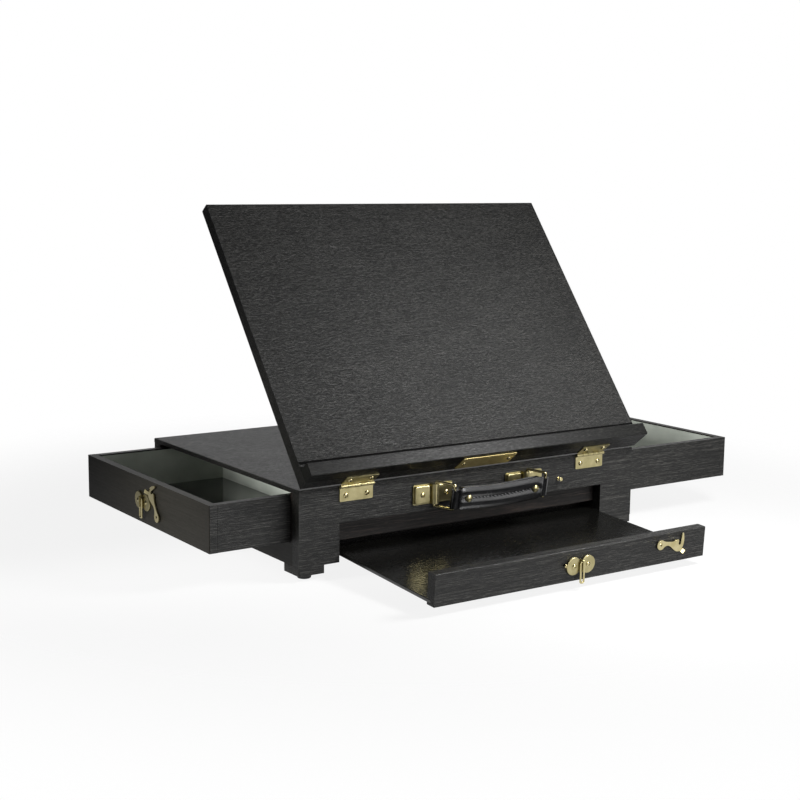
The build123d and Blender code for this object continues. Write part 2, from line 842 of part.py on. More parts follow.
def shelf_rail():
    inner = rail_front + rail_thickness
    rail = block(-shelf_half_width, shelf_half_width, rail_front, inner, rail_bottom, rail_top)
    rail = chamfer(rail.edges().filter_by(Axis.X).group_by(Axis.Z)[-1], arris)
    rail -= shelf_panel()
    rail = drilled(rail, [shelf_nub_place], small_screw_bite)
    return drilled_for_pull(rail, shelf_pull_place, shelf_hook_place)


def shelf_nub():
    """The small round-headed pin beside the pull."""
    head = Cylinder(shelf_nub_radius, 2 * shelf_nub_radius)
    head = fillet(head.edges().group_by(Axis.Z)[-1], 0.9)
    return shelf_nub_place * Pos(0, 0, shelf_nub_radius) * head + shank(shelf_nub_place, small_screw_bite)


def shelf_batten():
    bar = block(
        -shelf_half_width,
        shelf_half_width,
        rod_y - batten_depth / 2,
        rod_y + batten_depth / 2,
        shelf_top,
        shelf_top + batten_height,
    )
    return bar - bar_x(rod_radius + running, -case_width, case_width, rod_y, rod_z)


def shelf_rod():
    reach = cutout_half_width + runner_groove_depth - rod_end_gap
    return bar_x(rod_radius, -reach, reach, rod_y, rod_z)


# Handle
def bracket(side):
    """A pressed plate with two raised pads, and an upright saddle between them for the ring's bar."""
    half_w = bracket_width / 2
    half_h = bracket_height / 2
    body = Pos(0, 0, bracket_plate / 2) * Box(2 * half_w, 2 * half_h, bracket_plate)
    body = fillet(body.edges().filter_by(Axis.Z), bracket_corner)
    pad_start = saddle_radius + saddle_gap
    pad_end = half_w - bracket_rim
    pad_half_h = half_h - bracket_rim
    pad = block(pad_start, pad_end, -pad_half_h, pad_half_h, 0, bracket_rise)
    pad = fillet(pad.edges().filter_by(Axis.Z), bracket_corner)
    pad = fillet(pad.edges().group_by(Axis.Z)[-1], pad_round)
    saddle = block(-saddle_radius, saddle_radius, -half_h, half_h, 0, ring_pivot_out)
    saddle += Pos(0, 0, ring_pivot_out) * Rot(90, 0, 0) * Cylinder(saddle_radius, 2 * half_h)
    body += pad + mirror(pad, about=Plane.YZ) + saddle
    body -= Pos(0, 0, ring_pivot_out) * Rot(90 + ring_droop, 0, 0) * Cylinder(ring_wire + running, 4 * half_h)
    for s in (-1, 1):
        body -= Pos(s * bracket_screw_offset, 0, 0) * Cylinder(screw_shank_radius, 4 * bracket_rise)
    return front_plane(side * handle_spacing / 2, handle_z) * body


def drooped(shape):
    """The rings lean in their saddles, so that they and the grip hang a little low."""
    return shape.rotate(Axis((0, front - ring_pivot_out, handle_z), (1, 0, 0)), ring_droop)


def handle_ring(side):
    """A rectangular wire ring, swung to the right about its bar in the saddle."""
    h = ring_inner_height / 2 + ring_wire
    points = [(0, 0, h), (0, -ring_reach, h), (0, -ring_reach, -h), (0, 0, -h)]
    ring = wire_loop(points, ring_corner, ring_wire)
    return Pos(side * handle_spacing / 2, front - ring_pivot_out, handle_z) * Rot(0, 0, ring_swing) * ring


def handle_grip():
    """A leather strap folded round both rings' outer bars and riveted to itself."""
    outline = Pos((grip_x0 + grip_x1) / 2, grip_y) * Rectangle(grip_x1 - grip_x0, grip_thickness)
    for x in (grip_x0, grip_x1):
        outline += Pos(x, grip_y) * Circle(grip_eye_radius)
    for x in (grip_x0, grip_x1):
        outline -= Pos(x, grip_y) * Circle(ring_wire + 2 * running)
    body = Pos(0, 0, grip_z - grip_height / 2) * extrude(outline, grip_height)
    return drilled(body, rivet_places, grip_thickness)


def rivet(place):
    """A rivet through the strap, domed on both sides."""
    cap = dome(rivet_head_radius, rivet_head_height)
    far_cap = Pos(0, 0, -grip_thickness) * mirror(cap, about=Plane.XY)
    return place * (cap + far_cap) + shank(place, grip_thickness)


def build():
    os.makedirs("parts", exist_ok=True)
    sides = (-1, 1)
    save("top_panel", top_panel())
    save("front_panel", front_panel())
    save("inner_front_board", inner_board(front + panel_thickness))
    save("inner_back_board", inner_board(back - panel_thickness - inner_board_thickness))
    save("back_panel", back_panel())
    save("end_rails", *[end_rail(s) for s in sides])
    save("drawer_deck", drawer_deck())
    save("well_partitions", *[well_partition(s) for s in sides])
    save("bottom_panel", bottom_panel())
    save("shelf_runners", *[shelf_runner(s) for s in sides])
    save("foot_blocks", *[foot_block(x, y) for x, y in foot_centres])
    save("rubber_feet", *[rubber_foot(x, y) for x, y in foot_centres])
    save("tripod_plate", tripod_plate())
    save("tripod_plate_screws", *[flush_screw(p) for p in tripod_screw_places()])
    drawer_stud = stud(drawer_stud_place)
    save("catch_studs", stud(shelf_stud_place), drawer_stud, mirrored(drawer_stud))
    save("stay_pivot_pin", stay_pin())
    save("stay_spacers", *stay_spacers())
    save("hinge_case_leaves", *[case_leaf(s) for s in sides])
    save("hinge_pins", *[hinge_pin(s * hinge_offset) for s in sides])
    save("handle_brackets", *[bracket(s) for s in sides])
    front_screws = [screw(p, leaf_screw_length) for p in case_leaf_places]
    front_screws += [screw(p, bracket_screw_length) for p in bracket_places]
    save("front_screws", *front_screws)

    save("board_panel", raised(board_panel()))
    save("ledge", raised(ledge()))
    save("ledge_plate", raised(ledge_plate()))
    save("hinge_board_leaves", *[raised(board_leaf(s)) for s in sides])
    board_screws = [screw(p, leaf_screw_length) for p in board_leaf_places]
    board_screws += [screw(p, ledge_plate_screw_length, small_head_radius) for p in ledge_plate_places]
    board_screws += [screw(p, track_screw_length, small_head_radius) for p in track_places]
    save("board_screws", *[raised(s) for s in board_screws])
    save("stay_track", raised(stay_track()))
    save("stay_arm", stay_arm())
    save("stay_bolt", stay_bolt())
    save("stay_knob", stay_knob())

    for piece, solids in drawer_pieces(left_drawer_out).items():
        save(f"left_drawer_{piece}", *solids)
    for piece, solids in drawer_pieces(right_drawer_out).items():
        save(f"right_drawer_{piece}", *[mirrored(s) for s in solids])

    save("shelf_panel", lowered(shelf_panel()))
    save("shelf_rail", lowered(shelf_rail()))
    save("shelf_batten", lowered(shelf_batten()))
    save("shelf_rod", shelf_rod())
    save("shelf_pull_plate", lowered(pull_plate(shelf_pull_place)))
    save("shelf_pull_bail", hanging(lowered(pull_bail(shelf_pull_place))))
    save("shelf_hook", lowered(hook(shelf_hook_place, -shelf_hook_lean, 1)))
    shelf_screws = pull_screws(shelf_pull_place) + [pivot_screw(shelf_hook_place), shelf_nub()]
    save("shelf_screws", *[lowered(s) for s in shelf_screws])

    save("left_handle_ring", drooped(handle_ring(-1)))
    save("right_handle_ring", drooped(handle_ring(1)))
    save("handle_grip", drooped(handle_grip()))
    save("grip_rivets", *[drooped(rivet(p)) for p in rivet_places])


build()
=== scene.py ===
import json
from math import atan2, cos, exp, pi, radians, sin, sqrt

import bmesh
import bpy
import numpy as np
from mathutils import Matrix, Vector


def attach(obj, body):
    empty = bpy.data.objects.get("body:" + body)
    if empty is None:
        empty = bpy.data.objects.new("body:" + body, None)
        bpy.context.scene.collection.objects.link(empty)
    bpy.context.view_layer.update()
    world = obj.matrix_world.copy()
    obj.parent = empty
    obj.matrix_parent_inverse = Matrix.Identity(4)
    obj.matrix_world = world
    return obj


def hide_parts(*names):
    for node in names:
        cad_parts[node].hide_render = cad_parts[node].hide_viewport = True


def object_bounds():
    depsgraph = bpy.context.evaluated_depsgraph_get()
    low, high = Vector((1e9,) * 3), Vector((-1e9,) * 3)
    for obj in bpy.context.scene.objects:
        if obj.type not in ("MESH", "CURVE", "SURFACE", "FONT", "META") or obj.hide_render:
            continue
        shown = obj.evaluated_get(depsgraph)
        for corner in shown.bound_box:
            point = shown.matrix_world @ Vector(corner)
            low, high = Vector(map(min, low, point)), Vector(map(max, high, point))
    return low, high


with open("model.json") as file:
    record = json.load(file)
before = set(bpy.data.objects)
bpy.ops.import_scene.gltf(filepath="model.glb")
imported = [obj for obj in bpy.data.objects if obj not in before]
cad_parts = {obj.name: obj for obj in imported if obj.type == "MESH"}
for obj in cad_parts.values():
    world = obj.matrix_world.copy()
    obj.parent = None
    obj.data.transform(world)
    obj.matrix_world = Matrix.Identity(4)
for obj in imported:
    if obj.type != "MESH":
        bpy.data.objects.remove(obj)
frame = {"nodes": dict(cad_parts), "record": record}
nodes = frame["nodes"]
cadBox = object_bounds()
scene = bpy.context.scene
mm = 0.001
print("frame loaded:", len(nodes), "nodes")


def toLinear(hexColour):  # sRGB hex to the linear colour that a socket wants
    parts = [int(hexColour[i:i + 2], 16) / 255 for i in (1, 3, 5)]
    return [p / 12.92 if p <= 0.04045 else ((p + 0.055) / 1.055) ** 2.4 for p in parts] + [1.0]


def addNode(tree, kind, links=None, **settings):  # settings are inputs by name, or the node's own values
    node = tree.nodes.new(kind)
    for name, value in settings.items():
        if hasattr(node, name):
            setattr(node, name, value)
        else:
            node.inputs[name.replace("_", " ")].default_value = value
    for name, source in (links or {}).items():
        tree.links.new(source, node.inputs[name])
    return node


def newMaterial(name, **settings):  # a Principled shader with its plain values set on its own sockets
    material = bpy.data.materials.new(name)
    material.use_nodes = True
    tree = material.node_tree
    shader = tree.nodes["Principled BSDF"]
    for key, value in settings.items():
        shader.inputs[key.replace("_", " ")].default_value = value
    return material, tree, shader


def setRamp(ramp, stops):  # stops are (place, sRGB hex)
    elements = ramp.color_ramp.elements
    while len(elements) < len(stops):
        elements.new(0.5)
    for element, (place, colour) in zip(elements, stops):
        element.position = place
        element.color = toLinear(colour)
    return ramp


# Black-stained open-pored hardwood, sanded and wiped with a satin oil. The stain sits deeper in the pores,
# so a face shows short dark and light dashes along the grain over a soft broad mottle. Real pores are finer
# than the dashes, which are as coarse as they need to be to show. Sizes are mm along and across the grain.
woodSettings = {
    "veneer": {"dash": (5.0, 0.6), "line": (50.0, 1.2), "mottle": (120.0, 60.0),
               "dashShare": 0.72, "lineShare": 0.16, "relief": 0.40, "roughness": 0.43, "shine": 0.30,
               "tones": ((0.0, "#040404"), (0.35, "#0b0b0a"), (0.65, "#181816"), (1.0, "#363533"))},
    "solid": {"dash": (9.0, 0.55), "line": (80.0, 1.0), "mottle": (200.0, 26.0),    # quarter-sawn rails
              "dashShare": 0.50, "lineShare": 0.42, "relief": 0.30, "roughness": 0.45, "shine": 0.34,
              "tones": ((0.0, "#040403"), (0.35, "#0a0a09"), (0.65, "#171715"), (1.0, "#3e3d3a"))},
    "planed": {"dash": (6.0, 0.8), "line": (60.0, 1.6), "mottle": (160.0, 60.0),    # close-grained ends
               "dashShare": 0.12, "lineShare": 0.10, "relief": 0.015, "roughness": 0.50, "shine": 0.22,
               "tones": ((0.0, "#151411"), (0.4, "#1c1b17"), (0.65, "#22201c"), (1.0, "#2c2a25"))},
    "inner": {"dash": (14.0, 0.8), "line": (90.0, 1.5), "mottle": (150.0, 30.0),    # over a redder wood
              "dashShare": 0.30, "lineShare": 0.34, "relief": 0.12, "roughness": 0.52, "shine": 0.24,
              "tones": ((0.0, "#090706"), (0.35, "#12100f"), (0.65, "#1d1917"), (1.0, "#3a302b"))},
    "waxed": {"dash": (7.0, 0.8), "line": (70.0, 1.4), "mottle": (120.0, 60.0),    # rubbed to a mirror
              "dashShare": 0.34, "lineShare": 0.16, "relief": 0.004, "roughness": 0.22, "shine": 0.7,
              "tones": ((0.0, "#060605"), (0.4, "#0a0a09"), (0.65, "#0e0e0c"), (1.0, "#191814"))},
    "oiled": {"dash": (5.0, 0.65), "line": (50.0, 1.3), "mottle": (120.0, 60.0),    # handled smooth
              "dashShare": 0.58, "lineShare": 0.14, "relief": 0.05, "roughness": 0.43, "shine": 0.16,
              "tones": ((0.0, "#070707"), (0.4, "#0e0e0d"), (0.65, "#171716"), (1.0, "#2a2a28"))},
}
grainSettings = {
    "noiseSpan": (0.3, 0.7),    # where a noise's values mostly lie
    "mottleTones": (0.42, 0.58),    # the broad mottle's places on the ramp of tones
    "poreRoughness": 0.12,    # more in the dark pores
    "ridgeRoughness": -0.10,    # less on the light ridges
    "bump": 0.6,
}


def stainedWood(name, kind, grain):  # grain is the axis that it runs along
    w = woodSettings[kind]
    g = grainSettings
    low, high = g["noiseSpan"]
    material, tree, shader = newMaterial(name, Specular_IOR_Level=w["shine"])
    place = addNode(tree, "ShaderNodeTexCoord")

    def streaks(size, distortion, shift):  # noise drawn out along the grain, each layer from its own place
        scale = [1 / (size[1] * mm)] * 3
        scale[grain] = 1 / (size[0] * mm)
        mapping = addNode(tree, "ShaderNodeMapping", {"Vector": place.outputs["Object"]},
                          Scale=scale, Location=(shift, shift * 0.7, shift * 1.3))
        return addNode(tree, "ShaderNodeTexNoise", {"Vector": mapping.outputs["Vector"]},
                       Scale=1.0, Detail=2.0, Roughness=0.6, Distortion=distortion)

    dashes = streaks(w["dash"], 0.6, 3.1)
    lines = streaks(w["line"], 0.3, 7.7)
    mottle = streaks(w["mottle"], 0.3, 1.9)
    fine = addNode(tree, "ShaderNodeMapRange", {"Value": dashes.outputs["Fac"]},
                   From_Min=low, From_Max=high, To_Min=-w["dashShare"], To_Max=w["dashShare"])
    long = addNode(tree, "ShaderNodeMapRange", {"Value": lines.outputs["Fac"]},
                   From_Min=low, From_Max=high, To_Min=-w["lineShare"], To_Max=w["lineShare"])
    broad = addNode(tree, "ShaderNodeMapRange", {"Value": mottle.outputs["Fac"]},
                    From_Min=low, From_Max=high, To_Min=g["mottleTones"][0], To_Max=g["mottleTones"][1])
    first = addNode(tree, "ShaderNodeMath", {0: fine.outputs[0], 1: long.outputs[0]}, operation="ADD")
    total = addNode(tree, "ShaderNodeMath", {0: first.outputs[0], 1: broad.outputs[0]}, operation="ADD")
    ramp = setRamp(addNode(tree, "ShaderNodeValToRGB", {"Fac": total.outputs[0]}), w["tones"])
    tree.links.new(ramp.outputs["Color"], shader.inputs["Base Color"])
    rough = addNode(tree, "ShaderNodeMapRange", {"Value": total.outputs[0]},
                    To_Min=w["roughness"] + g["poreRoughness"], To_Max=w["roughness"] + g["ridgeRoughness"])
    tree.links.new(rough.outputs[0], shader.inputs["Roughness"])
    bump = addNode(tree, "ShaderNodeBump", {"Height": first.outputs[0]},
                   Strength=g["bump"], Distance=w["relief"] * mm)
    tree.links.new(bump.outputs["Normal"], shader.inputs["Normal"])
    return material


woods = {(kind, grain): stainedWood("blackStained" + kind.title() + "Grain" + "XY"[grain], kind, grain)
         for kind in woodSettings for grain in (0, 1)}


brassSettings = {    # waves and relief in mm
    "polished": {"roughness": 0.19, "spread": 0.10, "wave": 3.0, "relief": 0.03,
                 "tones": ((0.3, "#bfb384"), (0.7, "#d3c89d"))},    # stamped, tumbled and buffed
    "satin": {"roughness": 0.34, "spread": 0.12, "wave": 1.2, "relief": 0.012,
              "tones": ((0.3, "#a39a70"), (0.7, "#b9af86"))},    # rolled sheet, only brushed; its tones are also darkened as painted shade, for the dimmer reflections on the flat plates
    "brushed": {"roughness": 0.52, "spread": 0.12, "wave": 1.2, "relief": 0.02,
                "tones": ((0.3, "#d6c283"), (0.7, "#e6d59c"))},    # blasted to a dull gold
}


def lacqueredBrass(finishName):  # pale gold under clear lacquer, its tone clouding a little from handling
    b = brassSettings[finishName]
    material, tree, shader = newMaterial(finishName + "Brass", Metallic=1.0)
    place = addNode(tree, "ShaderNodeTexCoord")
    tone = addNode(tree, "ShaderNodeTexNoise", {"Vector": place.outputs["Object"]},
                   Scale=1 / (7 * mm), Detail=3.0)
    ramp = setRamp(addNode(tree, "ShaderNodeValToRGB", {"Fac": tone.outputs["Fac"]}), b["tones"])
    tree.links.new(ramp.outputs["Color"], shader.inputs["Base Color"])
    waves = addNode(tree, "ShaderNodeTexNoise", {"Vector": place.outputs["Object"]},
                    Scale=1 / (b["wave"] * mm), Detail=1.0)
    bump = addNode(tree, "ShaderNodeBump", {"Height": waves.outputs["Fac"]}, Strength=0.25,
                   Distance=b["relief"] * mm)
    tree.links.new(bump.outputs["Normal"], shader.inputs["Normal"])
    rough = addNode(tree, "ShaderNodeMapRange", {"Value": tone.outputs["Fac"]},
                    To_Min=b["roughness"] - b["spread"] / 2, To_Max=b["roughness"] + b["spread"] / 2)
    tree.links.new(rough.outputs[0], shader.inputs["Roughness"])
    return material


def greyLining():  # board painted a matt grey-green and rubbed down: flat, with a faint cloudy tone
    material, tree, shader = newMaterial("mattPaintedLining", Roughness=0.5, Specular_IOR_Level=0.4)
    place = addNode(tree, "ShaderNodeTexCoord")
    cloud = addNode(tree, "ShaderNodeTexNoise", {"Vector": place.outputs["Object"]},
                    Scale=1 / (30 * mm), Detail=3.0)
    ramp = setRamp(addNode(tree, "ShaderNodeValToRGB", {"Fac": cloud.outputs["Fac"]}),
                   ((0.3, "#adb3a9"), (0.7, "#bdc2b8")))
    tree.links.new(ramp.outputs["Color"], shader.inputs["Base Color"])
    grain = addNode(tree, "ShaderNodeTexNoise", {"Vector": place.outputs["Object"]},
                    Scale=1 / (0.8 * mm), Detail=2.0)
    bump = addNode(tree, "ShaderNodeBump", {"Height": grain.outputs["Fac"]},
                   Strength=0.15, Distance=0.05 * mm)
    tree.links.new(bump.outputs["Normal"], shader.inputs["Normal"])
    return material


def lacqueredPly():  # black-lacquered plywood: a deep gloss that mirrors the drawer's walls
    material, tree, shader = newMaterial("blackLacqueredPlywood", Roughness=0.16, Coat_Weight=0.3)
    place = addNode(tree, "ShaderNodeTexCoord")
    ripple = addNode(tree, "ShaderNodeTexNoise", {"Vector": place.outputs["Object"]},
                     Scale=1 / (14 * mm), Detail=2.0)
    ramp = setRamp(addNode(tree, "ShaderNodeValToRGB", {"Fac": ripple.outputs["Fac"]}),
                   ((0.3, "#30312d"), (0.7, "#3b3c37")))
    tree.links.new(ramp.outputs["Color"], shader.inputs["Base Color"])
    bump = addNode(tree, "ShaderNodeBump", {"Height": ripple.outputs["Fac"]},
                   Strength=0.1, Distance=0.1 * mm)
    tree.links.new(bump.outputs["Normal"], shader.inputs["Normal"])
    return material


def blackLeather():  # chrome-tanned cowhide, dyed through and burnished: fine pebbled grain, half gloss
    material, tree, shader = newMaterial("burnishedBlackLeather", Coat_Weight=0.9, Coat_Roughness=0.14)
    place = addNode(tree, "ShaderNodeTexCoord")
    grain = addNode(tree, "ShaderNodeTexVoronoi", {"Vector": place.outputs["Object"]}, Scale=1 / (0.8 * mm))
    tone = addNode(tree, "ShaderNodeTexNoise", {"Vector": place.outputs["Object"]},
                   Scale=1 / (5 * mm), Detail=3.0)
    ramp = setRamp(addNode(tree, "ShaderNodeValToRGB", {"Fac": tone.outputs["Fac"]}),
                   ((0.3, "#09090a"), (0.7, "#131315")))
    tree.links.new(ramp.outputs["Color"], shader.inputs["Base Color"])
    bump = addNode(tree, "ShaderNodeBump", {"Height": grain.outputs["Distance"]},
                   Strength=0.25, Distance=0.05 * mm)
    tree.links.new(bump.outputs["Normal"], shader.inputs["Normal"])
    rough = addNode(tree, "ShaderNodeMapRange", {"Value": tone.outputs["Fac"]}, To_Min=0.20, To_Max=0.30)
    tree.links.new(rough.outputs[0], shader.inputs["Roughness"])
    return material


def plainSurface(name, dark, light, roughness, metallic, grit, shine=0.5):  # broken by its grit in mm
    material, tree, shader = newMaterial(name, Metallic=metallic, Roughness=roughness,
                                         Specular_IOR_Level=shine)
    place = addNode(tree, "ShaderNodeTexCoord")
    tone = addNode(tree, "ShaderNodeTexNoise", {"Vector": place.outputs["Object"]},
                   Scale=1 / (grit * mm), Detail=3.0)
    ramp = setRamp(addNode(tree, "ShaderNodeValToRGB", {"Fac": tone.outputs["Fac"]}),
                   ((0.3, dark), (0.7, light)))
    tree.links.new(ramp.outputs["Color"], shader.inputs["Base Color"])
    bump = addNode(tree, "ShaderNodeBump", {"Height": tone.outputs["Fac"]},
                   Strength=0.12, Distance=0.1 * mm)
    tree.links.new(bump.outputs["Normal"], shader.inputs["Normal"])
    return material


brass = lacqueredBrass("polished")
satinShadedBrass = lacqueredBrass("satin")
dullBrass = lacqueredBrass("brushed")
lining = greyLining()
gloss = lacqueredPly()
leather = blackLeather()
steel = plainSurface("turnedSteel", "#8b8c8e", "#a3a4a6", 0.32, 1.0, 4.0)    # bright, with faint tool marks
enamel = plainSurface("blackEnamelledSteel", "#1b1b1b", "#232323", 0.38, 0.0, 2.0)    # slight orange peel
rubber = plainSurface("mouldedBlackRubber", "#161616", "#1f1f1f", 0.62, 0.0, 1.0)    # dull, faintly dusty
thread = plainSurface("waxedLinenThread", "#1c1c1d", "#48484a", 0.30, 0.0, 0.5)    # a glint on each stitch
paintedShadeBlack = plainSurface("paintedShadeMatt", "#040404", "#080808", 0.7, 0.0, 2.0, 0.05)    # near-black and dead matt: painted shade for the corner behind the ledge, where its lip shades the board
print("materials made")


def finish(piece, body, slotName, *replaced):
    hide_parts(*replaced)
    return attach(piece, body)


def addMesh(name, bm, *materials):
    mesh = bpy.data.meshes.new(name)
    bm.to_mesh(mesh)
    bm.free()
    piece = bpy.data.objects.new(name, mesh)
    scene.collection.objects.link(piece)
    for material in materials:
        mesh.materials.append(material)
    return piece


def shade(piece, angle):  # smooth, but sharp where faces meet at more than the angle
    for face in piece.data.polygons:
        face.use_smooth = True
    piece.data.set_sharp_from_angle(angle=radians(angle))
    return piece


def baked(piece):  # its modifiers end up in a plain mesh
    mesh = bpy.data.meshes.new_from_object(piece.evaluated_get(bpy.context.evaluated_depsgraph_get()))
    piece.modifiers.clear()
    piece.data = mesh
    mesh.name = piece.name
    return piece


def merged(nodeName):  # a copy of the node's loose triangles, joined
    bm = bmesh.new()
    bm.from_mesh(nodes[nodeName].data)
    bmesh.ops.remove_doubles(bm, verts=bm.verts, dist=softSettings["weld"] * mm)
    return bm


def softened(nodeName, body, slotName, material, edge):  # a copy with its arrises rubbed round
    bm = merged(nodeName)
    bmesh.ops.dissolve_limit(bm, angle_limit=radians(softSettings["flat"]), verts=bm.verts, edges=bm.edges)
    piece = shade(addMesh(nodeName + "Soft", bm, material), softSettings["smooth"])
    if nodeName.endswith("_drawer_face"):    # its ends run on from the sides' long grain
        piece.data.materials.append(woods["solid", 0])
        for face in piece.data.polygons:
            face.material_index = int(abs(face.normal.y) > 0.9)
    bevel = piece.modifiers.new("arris", "BEVEL")
    bevel.width = edge * mm
    bevel.segments = softSettings["segments"]
    bevel.limit_method = "ANGLE"
    bevel.angle_limit = radians(softSettings["arris"])
    bevel.use_clamp_overlap = True
    piece.data.transform(Matrix.Translation(Vector(softShift.get(nodeName, (0, 0, 0))) * mm))
    weighted = piece.modifiers.new("flatFaces", "WEIGHTED_NORMAL")
    weighted.keep_sharp = True
    weighted.weight = 100    # the larger faces decide
    return finish(baked(piece), body, slotName, nodeName)


softSettings = {
    "weld": 0.002,    # mm
    "flat": 0.5,    # degrees, below which two faces are one
    "smooth": 30,
    "arris": 40,
    "segments": 2,
}
softEdge = {"wood": 0.4, "brass": 0.25, "ledge": 1.3, "handle_brackets": 0.8, "hinge_case_leaves": 0.2,
            "shelf_pull_plate": 0.7, "left_drawer_pull_plate": 0.7, "right_drawer_pull_plate": 0.7}    # mm
softShift = {"hinge_board_leaves": (0, -0.018, -0.024)}    # mm, so that it clears the top panel when shut
sheetBrass = {
    "ledge_plate": dullBrass,
    "hinge_case_leaves": satinShadedBrass,
    "hinge_board_leaves": satinShadedBrass,
    "handle_brackets": satinShadedBrass,
    "shelf_pull_plate": satinShadedBrass,
    "left_drawer_pull_plate": satinShadedBrass,
    "right_drawer_pull_plate": satinShadedBrass,
}
acrossGrain = ("end_rails", "shelf_runners", "left_drawer_face", "right_drawer_face",
               "left_drawer_divider", "right_drawer_divider", "well_partitions")
woodKinds = {
    "waxed": ("shelf_panel",),
    "oiled": ("ledge",),
    "inner": ("inner_front_board", "inner_back_board", "shelf_batten", "shelf_runners"),
    "planed": ("left_drawer_face", "right_drawer_face", "end_rails"),
    "solid": ("front_panel", "back_panel", "shelf_rail", "left_drawer_walls", "right_drawer_walls",
              "foot_blocks"),
}
slots = {part["node"]: part["material_slot"] for part in frame["record"]["subparts"]}
bodyOf = {name: body for body, names in frame["record"]["behaviour"]["bodies"].items() for name in names}
screwNodes = [name for name in nodes if name.endswith("_screws") and slots[name] == "brass"]
builtApart = screwNodes + ["grip_rivets", "handle_grip"]
plainFinish = {"steel": steel, "plate": enamel, "leather": leather, "lining": lining, "floor": gloss,
               "rubber": rubber}
for name, node in nodes.items():
    slotName = slots[name]
    if slotName == "wood":
        kind = next((kind for kind, names in woodKinds.items() if name in names), "veneer")
        material = woods[kind, 1 if name in acrossGrain else 0]
    else:
        material = plainFinish.get(slotName, sheetBrass.get(name, brass))
    for holder in node.material_slots:
        holder.material = material
    if slotName in softEdge and name not in builtApart:
        softened(name, bodyOf[name], slotName, material, softEdge.get(name, softEdge[slotName]))
print("wood and brass softened")

# where the strip of painted shade lies, along the ledge's foot on the board
ledgeShadeSettings = {
    "foot": (-174.0, 110.4),    # y and z in mm of the corner where the ledge meets the board
    "up": (0.6143, 0.789),    # the way that the board's face rises
    "start": 2.0,
    "width": 3.0,
    "thickness": 0.3,    # half of it sunk in the board
    "length": 459.0,
}


def ledgeShadeStrip():    # painted shade: a near-black strip laid on the board in the corner behind the ledge, where its lip shades the face
    g = ledgeShadeSettings
    up = Vector((0, g["up"][0], g["up"][1]))
    out = Vector((0, -g["up"][1], g["up"][0]))
    bm = bmesh.new()
    bmesh.ops.create_cube(bm, size=1)
    for vert in bm.verts:
        x, across, away = vert.co
        place = Vector((x * g["length"], g["foot"][0], g["foot"][1])) + out * away * g["thickness"]
        vert.co = (place + up * (g["start"] + (across + 0.5) * g["width"])) * mm
    bmesh.ops.recalc_face_normals(bm, faces=bm.faces)
    return addMesh("ledgeShadeStrip", bm, paintedShadeBlack)


finish(ledgeShadeStrip(), "board", "wood")

fastenerSettings = {    # shares of the head's radius
    "screw": {"Head Height": 0.56, "Slot Length": 1.15, "Slot Width": 0.27, "Slot Depth": 0.9,
              "Shank Radius": 0.45, "Seed": 7},
    "rivet": {"Head Height": 0.62, "Slot Length": 0.0, "Slot Width": 0.0, "Slot Depth": 0.0,
              "Shank Radius": 0.4, "Seed": 3},
}


def islands(bm):  # the separate shells, as arrays of points, in the order of their first points
    seen = set()
    for first in bm.verts:
        if first in seen:
            continue
        seen.add(first)
        stack = [first]
        shell = []
        while stack:
            vert = stack.pop()
            shell.append(list(vert.co))
            for edge in vert.link_edges:
                other = edge.other_vert(vert)
                if other not in seen:
                    seen.add(other)
                    stack.append(other)
        yield np.array(shell)


def headSeat(points):  # the head's foot, the way it faces and its radius, of one turned fastener
    centre = (points.min(0) + points.max(0)) / 2
    ways = np.linalg.eigh(np.cov((points - points.mean(0)).T))[1].T
    axis = max(ways, key=lambda way: np.ptp((points - centre) @ way))
    along = (points - centre) @ axis
    across = np.linalg.norm((points - centre) - np.outer(along, axis), axis=1)
    middle = (along.min() + along.max()) / 2
    if across[along > middle].max() < across[along < middle].max():
        axis, along = -axis, -along
    radius = across.max()
    foot = along[across > radius * 0.97].max()    # the far edge of the head's widest ring
    return Vector(centre + axis * foot), Vector(axis), radius


def newTree(name, sizes):
    tree = bpy.data.node_groups.new(name, "GeometryNodeTree")
    sockets = [("Geometry", "Geometry")] + [(size, "Float") for size in sizes]
    for label, kind in sockets + [("Seed", "Int"), ("Material", "Material")]:
        tree.interface.new_socket(label, in_out="INPUT", socket_type="NodeSocket" + kind)
    tree.interface.new_socket("Geometry", in_out="OUTPUT", socket_type="NodeSocketGeometry")
    return tree, addNode(tree, "NodeGroupInput").outputs


def endTree(tree, given, instances):  # made real and painted
    real = addNode(tree, "GeometryNodeRealizeInstances", {"Geometry": instances})
    painted = addNode(tree, "GeometryNodeSetMaterial", {"Geometry": real.outputs["Geometry"],
                                                        "Material": given["Material"]})
    addNode(tree, "NodeGroupOutput", {"Geometry": painted.outputs["Geometry"]})
    return tree


